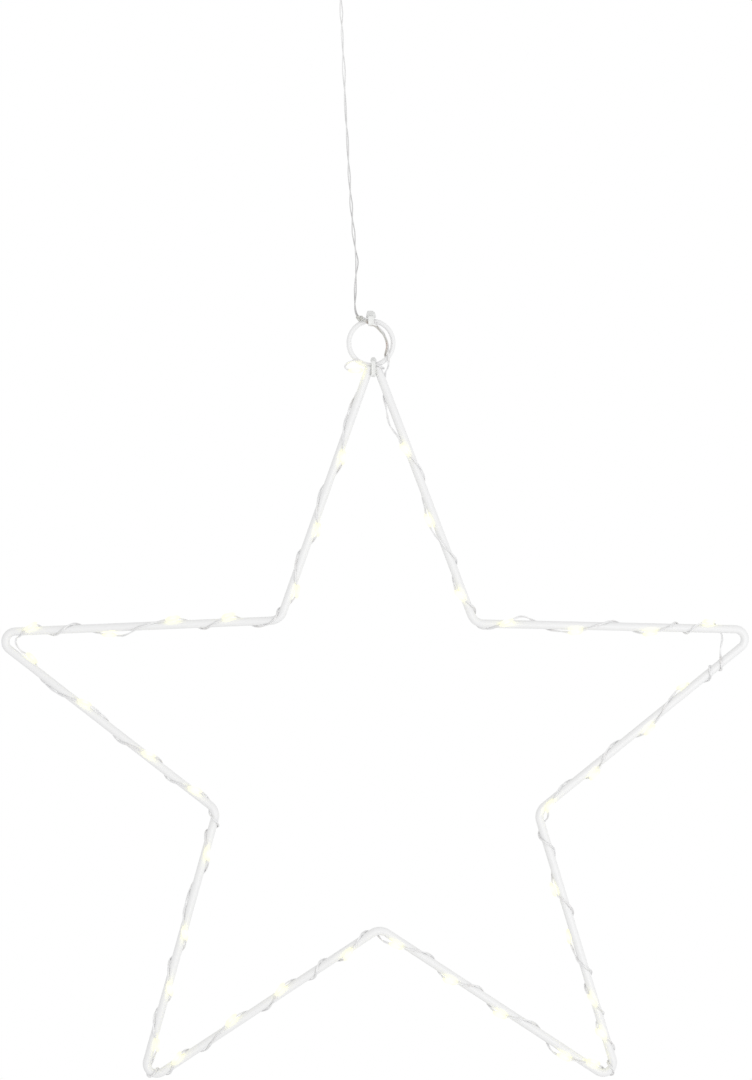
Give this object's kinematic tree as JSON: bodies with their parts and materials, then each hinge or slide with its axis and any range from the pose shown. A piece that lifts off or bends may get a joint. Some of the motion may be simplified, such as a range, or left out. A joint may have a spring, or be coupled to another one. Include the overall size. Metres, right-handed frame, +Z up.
{
  "type": "hanging wire star light",
  "caption": "Five-pointed wire star with a hanging ring, wound with a fine string of small warm lights whose lead runs up to a switched battery box.",
  "frame": {"origin": "top of the hole of the hanging ring, where a hook, nail or ribbon carries the star", "axes": "+Z up, from the star's middle to its top point; the star lies in the XZ plane and faces -Y"},
  "size_m": [0.2991, 0.0212, 0.5198],
  "materials": {
    "frame_coat": "white powder coat, satin",
    "tie_nylon": "natural nylon, slightly clear",
    "twin_wire": "twisted pair of fine enamelled wires, silver grey",
    "light_resin": "clear cast resin over a warm white chip",
    "box_plastic": "white moulded plastic, fine texture",
    "dark_plastic": "black moulded plastic",
    "cell_jacket": "plain grey shrink jacket",
    "plated_metal": "nickel plated spring steel"
  },
  "bodies": {
    "star": {"star_frame": "frame_coat", "hanging_ring": "frame_coat", "upper_tie": "tie_nylon", "lower_tie": "tie_nylon", "led_string": "twin_wire", "lead_cord": "twin_wire", "battery_case": "box_plastic", "lead_grommet": "dark_plastic", "switch_housing": "plated_metal", "led_01": "light_resin", "led_02": "light_resin", "led_03": "light_resin", "led_04": "light_resin", "led_05": "light_resin", "led_06": "light_resin", "led_07": "light_resin", "led_08": "light_resin", "led_09": "light_resin", "led_10": "light_resin", "led_11": "light_resin", "led_12": "light_resin", "led_13": "light_resin", "led_14": "light_resin", "led_15": "light_resin", "led_16": "light_resin", "led_17": "light_resin", "led_18": "light_resin", "led_19": "light_resin", "led_20": "light_resin", "led_21": "light_resin", "led_22": "light_resin", "led_23": "light_resin", "led_24": "light_resin", "led_25": "light_resin", "led_26": "light_resin", "led_27": "light_resin", "led_28": "light_resin", "led_29": "light_resin", "led_30": "light_resin", "led_31": "light_resin", "led_32": "light_resin", "led_33": "light_resin", "led_34": "light_resin", "led_35": "light_resin", "led_36": "light_resin", "led_37": "light_resin", "led_38": "light_resin", "led_39": "light_resin", "led_40": "light_resin", "cell_1": "cell_jacket", "cell_2": "cell_jacket", "cell_3": "cell_jacket", "contact_positive": "plated_metal", "contact_negative": "plated_metal", "contact_bridge_low": "plated_metal", "contact_bridge_high": "plated_metal"},
    "door": {"battery_door": "box_plastic"},
    "slider": {"switch_slider": "dark_plastic"}
  },
  "joints": [
    {"name": "door_slide", "type": "slide", "parent": "star", "child": "door", "axis": [0, 0, 1], "range_m": [0, 0.055]},
    {"name": "switch_slide", "type": "slide", "parent": "star", "child": "slider", "axis": [1, 0, 0], "range_m": [-0.003, 0]}
  ]
}
